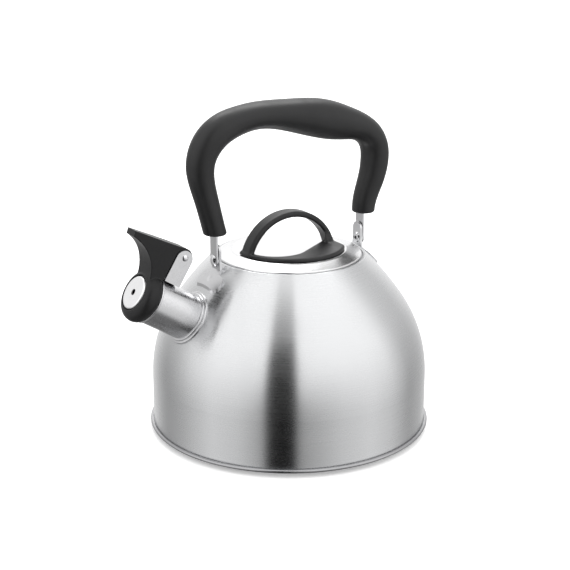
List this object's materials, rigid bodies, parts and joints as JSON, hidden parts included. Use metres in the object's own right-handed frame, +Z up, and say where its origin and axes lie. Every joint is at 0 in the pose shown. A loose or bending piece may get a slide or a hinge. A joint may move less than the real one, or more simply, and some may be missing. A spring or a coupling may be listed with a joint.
{
  "type": "stovetop whistling kettle",
  "caption": "Domed stovetop kettle of sheet steel with a fold-down bail handle, lift-off lid, short spout and hinged whistle cap with a thumb lever.",
  "frame": {"origin": "centre of the flat base, on the surface the kettle stands on", "axes": "+Z up along the body's axis; the spout points towards -X; the handle and the spout lie in the plane Y = 0"},
  "size_m": [0.2203, 0.194, 0.2276],
  "materials": {
    "brushed_body": "stainless steel, brushed around the body",
    "rolled_seam": "rolled edge, satin",
    "heat_disc": "plain",
    "base_steel": "circular brushed",
    "spout_steel": "satin",
    "polished_steel": "polished",
    "bracket_steel": "satin pressed sheet",
    "rivet_steel": "bright",
    "lid_steel": "fine circular brushed, bright",
    "whistle_steel": "turned disc",
    "cap_plastic": "satin black, moulded",
    "grip_plastic": "soft-touch black",
    "knob_plastic": "satin black, moulded"
  },
  "bodies": {
    "kettle": {"body_shell": "brushed_body", "base_pan": "rolled_seam", "heat_spreader_disc": "heat_disc", "base_cover": "base_steel", "spout_tube": "spout_steel", "spout_flange": "polished_steel", "cap_bracket": "bracket_steel", "cap_hinge_pin": "rivet_steel", "front_ear": "bracket_steel", "rear_ear": "bracket_steel", "pivot_rivets": "rivet_steel", "pivot_washers": "rivet_steel"},
    "handle": {"front_strap": "bracket_steel", "rear_strap": "bracket_steel", "handle_grip": "grip_plastic"},
    "lid": {"lid_cover": "lid_steel", "lid_skirt": "spout_steel", "lid_knob": "knob_plastic", "knob_screws": "rivet_steel", "knob_washers": "rivet_steel"},
    "whistle_cap": {"cap_housing": "cap_plastic", "whistle_front_disc": "whistle_steel", "whistle_rear_disc": "whistle_steel", "cap_retainer_ring": "spout_steel"}
  },
  "joints": [
    {"name": "handle_fold", "type": "hinge", "parent": "kettle", "child": "handle", "pos_m": [0, 0, 0.125], "axis": [1, 0, 0], "range_deg": [-90, 90]},
    {"name": "lid_lift", "type": "slide", "parent": "kettle", "child": "lid", "axis": [0, 0, 1], "range_m": [0, 0.03]},
    {"name": "cap_open", "type": "hinge", "parent": "kettle", "child": "whistle_cap", "pos_m": [-0.08381, 0, 0.13302], "axis": [0, 1, 0], "range_deg": [0, 60]}
  ]
}
